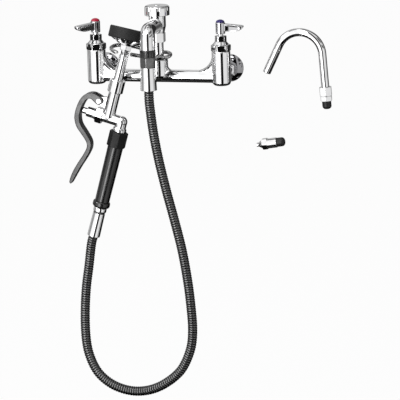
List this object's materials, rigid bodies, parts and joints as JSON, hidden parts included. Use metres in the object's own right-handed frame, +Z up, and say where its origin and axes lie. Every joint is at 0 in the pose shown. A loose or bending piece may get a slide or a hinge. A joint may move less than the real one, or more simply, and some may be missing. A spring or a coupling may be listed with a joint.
{
  "type": "pre rinse faucet",
  "caption": "Wall-mounted pre-rinse faucet with lever handles, a vacuum breaker riser, a ribbed hose and a trigger spray valve in a wire hook, with a loose gooseneck and jet nozzle.",
  "frame": {"origin": "on the wall plane, midway between the two inlets, at the inlets' height", "axes": "+X towards the cold side, +Y into the wall, +Z up"},
  "size_m": [0.4147, 0.1299, 0.6243],
  "materials": {
    "chrome": "polished",
    "brass": "turned",
    "seal": "matt",
    "black_rubber": "satin",
    "black_cap": "satin",
    "grip": "satin",
    "hose_steel": "bright ribs with dark grooves",
    "wire_steel": "drawn wire",
    "lever_grey": "satin grey coat",
    "dark_nickel": "dark satin",
    "spray_plate": "smooth",
    "hot_red": "smooth",
    "cold_indigo": "smooth"
  },
  "bodies": {
    "faucet": {"faucet_body": "chrome", "hot_inlet": "chrome", "cold_inlet": "chrome", "hot_coupling_nut": "chrome", "cold_coupling_nut": "chrome", "hot_inlet_washer": "seal", "cold_inlet_washer": "seal", "hot_cartridge": "brass", "cold_cartridge": "brass", "hot_bonnet": "chrome", "cold_bonnet": "chrome", "hot_packing_nut": "chrome", "cold_packing_nut": "chrome", "riser_pipe": "chrome", "riser_nut": "chrome", "breaker_body": "chrome", "breaker_guide": "brass", "breaker_hood": "chrome", "breaker_screw": "chrome", "outlet_elbow": "chrome", "hose_adapter": "dark_nickel", "hose_nut": "chrome", "hose_washer": "seal", "upper_ferrule": "chrome", "hose": "hose_steel", "hook": "wire_steel", "gooseneck": "chrome", "gooseneck_nut": "chrome", "gooseneck_adapter": "chrome", "jet_nozzle": "chrome", "thread_caps": "black_cap"},
    "hot_handle": {"hot_spindle": "brass", "hot_handle": "chrome", "hot_handle_screw": "chrome", "hot_index": "hot_red"},
    "cold_handle": {"cold_spindle": "brass", "cold_handle": "chrome", "cold_handle_screw": "chrome", "cold_index": "cold_indigo"},
    "sprayer": {"lower_ferrule": "chrome", "swivel_nut": "chrome", "swivel_washer": "seal", "grip_end_ring": "grip", "grip_sleeve": "grip", "grip_collar": "grip", "grip_tube": "brass", "valve_body": "chrome", "valve_bonnet": "chrome", "valve_spring": "wire_steel", "lever_pin": "chrome", "union_nut": "chrome", "wand": "chrome", "spray_dish": "chrome", "spray_face": "spray_plate", "face_screw": "chrome", "bumper": "black_rubber"},
    "spray_lever": {"spray_lever": "lever_grey"},
    "plunger": {"plunger": "chrome", "seat_washer": "seal"},
    "breaker_poppet": {"breaker_poppet": "seal"}
  },
  "joints": [
    {"name": "hot_valve", "type": "hinge", "parent": "faucet", "child": "hot_handle", "pos_m": [-0.1016, -0.055, 0.07], "axis": [0, 0, 1], "range_deg": [-45, 45]},
    {"name": "cold_valve", "type": "hinge", "parent": "faucet", "child": "cold_handle", "pos_m": [0.1016, -0.055, 0.07], "axis": [0, 0, 1], "range_deg": [-90, 0]},
    {"name": "sprayer_swivel", "type": "hinge", "parent": "faucet", "child": "sprayer", "pos_m": [-0.0755, -0.088, -0.0677], "axis": [0.2756, 0, 0.9613], "range_deg": [-20, 20], "stiffness_Nm_per_rad": 0.2, "deforming": ["hose"]},
    {"name": "lever_pivot", "type": "hinge", "parent": "sprayer", "child": "spray_lever", "pos_m": [-0.0883, -0.088, -0.03979], "axis": [0, -1, 0], "range_deg": [0, 14], "stiffness_Nm_per_rad": 1.5, "springref_deg": -8.59},
    {"name": "plunger_slide", "type": "slide", "parent": "sprayer", "child": "plunger", "axis": [0.9613, 0, -0.2756], "range_m": [0, 0.006], "deforming": ["valve_spring"]},
    {"name": "poppet_lift", "type": "slide", "parent": "faucet", "child": "breaker_poppet", "axis": [0, 0, 1], "range_m": [0, 0.003]}
  ],
  "couplings": [
    {"joint": "plunger_slide", "follows": "lever_pivot", "m_per_rad": 0.0235}
  ]
}
